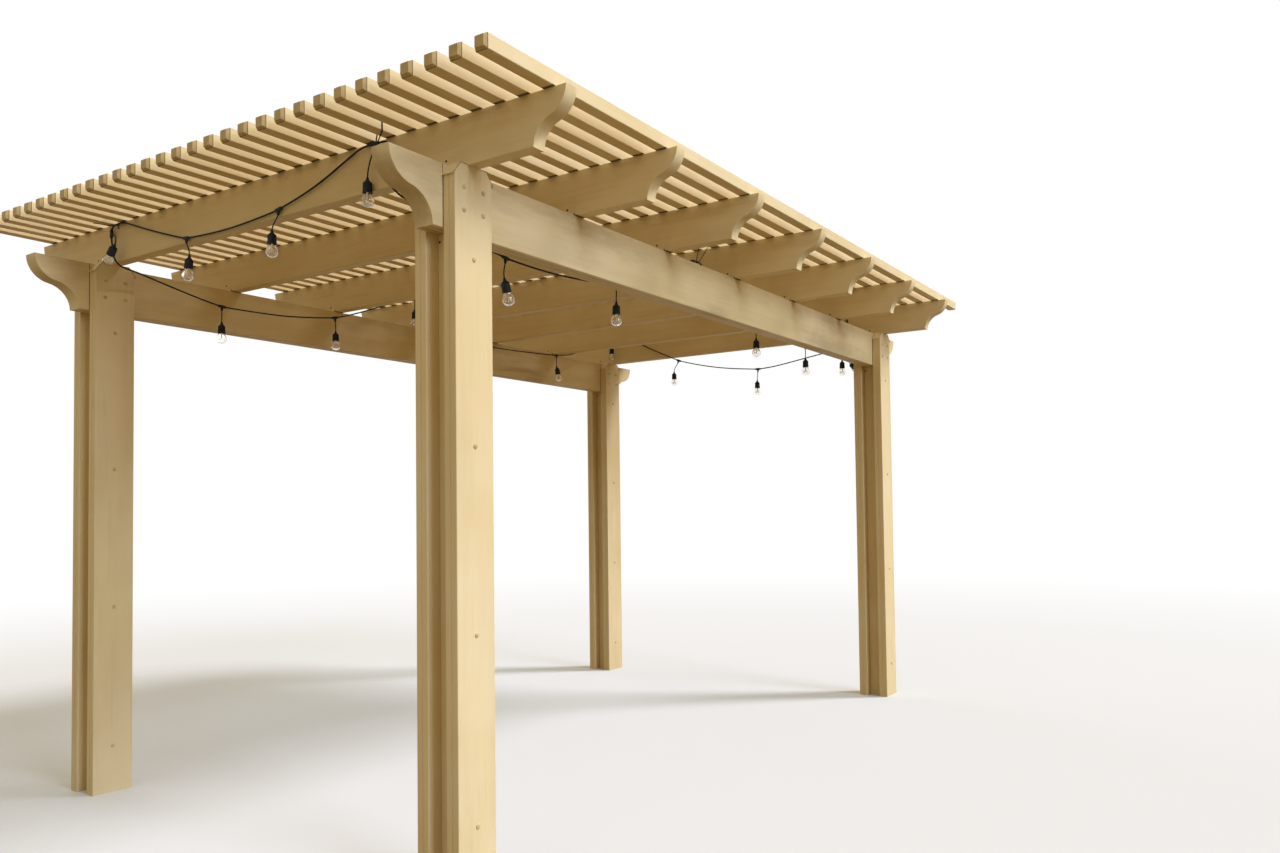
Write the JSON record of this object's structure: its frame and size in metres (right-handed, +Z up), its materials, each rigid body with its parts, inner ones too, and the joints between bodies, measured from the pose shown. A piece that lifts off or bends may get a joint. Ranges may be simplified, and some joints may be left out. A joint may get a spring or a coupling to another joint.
{
  "type": "pergola",
  "caption": "Open pergola with four sandwich-built posts, two scroll-ended beams, scroll-ended rafters and a flat roof of square slats, hung with two strings of lamps.",
  "frame": {"origin": "on the ground, under the middle of the roof", "axes": "+X along the beams and slats to the far posts, +Y along the rafters to the left beam, +Z up"},
  "size_m": [4.327, 3.074, 2.4668],
  "materials": {
    "beam_paint": "satin baked paint, warm sand colour, light wood grain emboss",
    "bulb_glass": "clear glass",
    "cable": "matt black rubber",
    "post_paint": "satin baked paint, warm sand colour",
    "rafter_paint": "satin baked paint, warm sand colour, light wood grain emboss",
    "slat_cap": "matt moulded plastic in the paint's colour",
    "slat_paint": "satin baked paint, warm sand colour",
    "socket": "matt black plastic",
    "tie": "black nylon"
  },
  "bodies": {
    "root": {"far_left_post_core": "post_paint", "far_left_post_inner_plank": "post_paint", "far_left_post_outer_plank": "post_paint", "far_right_post_core": "post_paint", "far_right_post_inner_plank": "post_paint", "far_right_post_outer_plank": "post_paint", "far_slat_caps": "slat_cap", "left_beam": "beam_paint", "left_string_bulbs": "bulb_glass", "left_string_cable": "cable", "left_string_sockets": "socket", "left_string_ties": "tie", "near_left_post_core": "post_paint", "near_left_post_inner_plank": "post_paint", "near_left_post_outer_plank": "post_paint", "near_right_post_core": "post_paint", "near_right_post_inner_plank": "post_paint", "near_right_post_outer_plank": "post_paint", "near_slat_caps": "slat_cap", "rafter_1": "rafter_paint", "rafter_2": "rafter_paint", "rafter_3": "rafter_paint", "rafter_4": "rafter_paint", "rafter_5": "rafter_paint", "rafter_6": "rafter_paint", "rafter_7": "rafter_paint", "right_beam": "beam_paint", "right_string_bulbs": "bulb_glass", "right_string_cable": "cable", "right_string_sockets": "socket", "right_string_ties": "tie", "roof_slats": "slat_paint"}
  },
  "joints": []
}
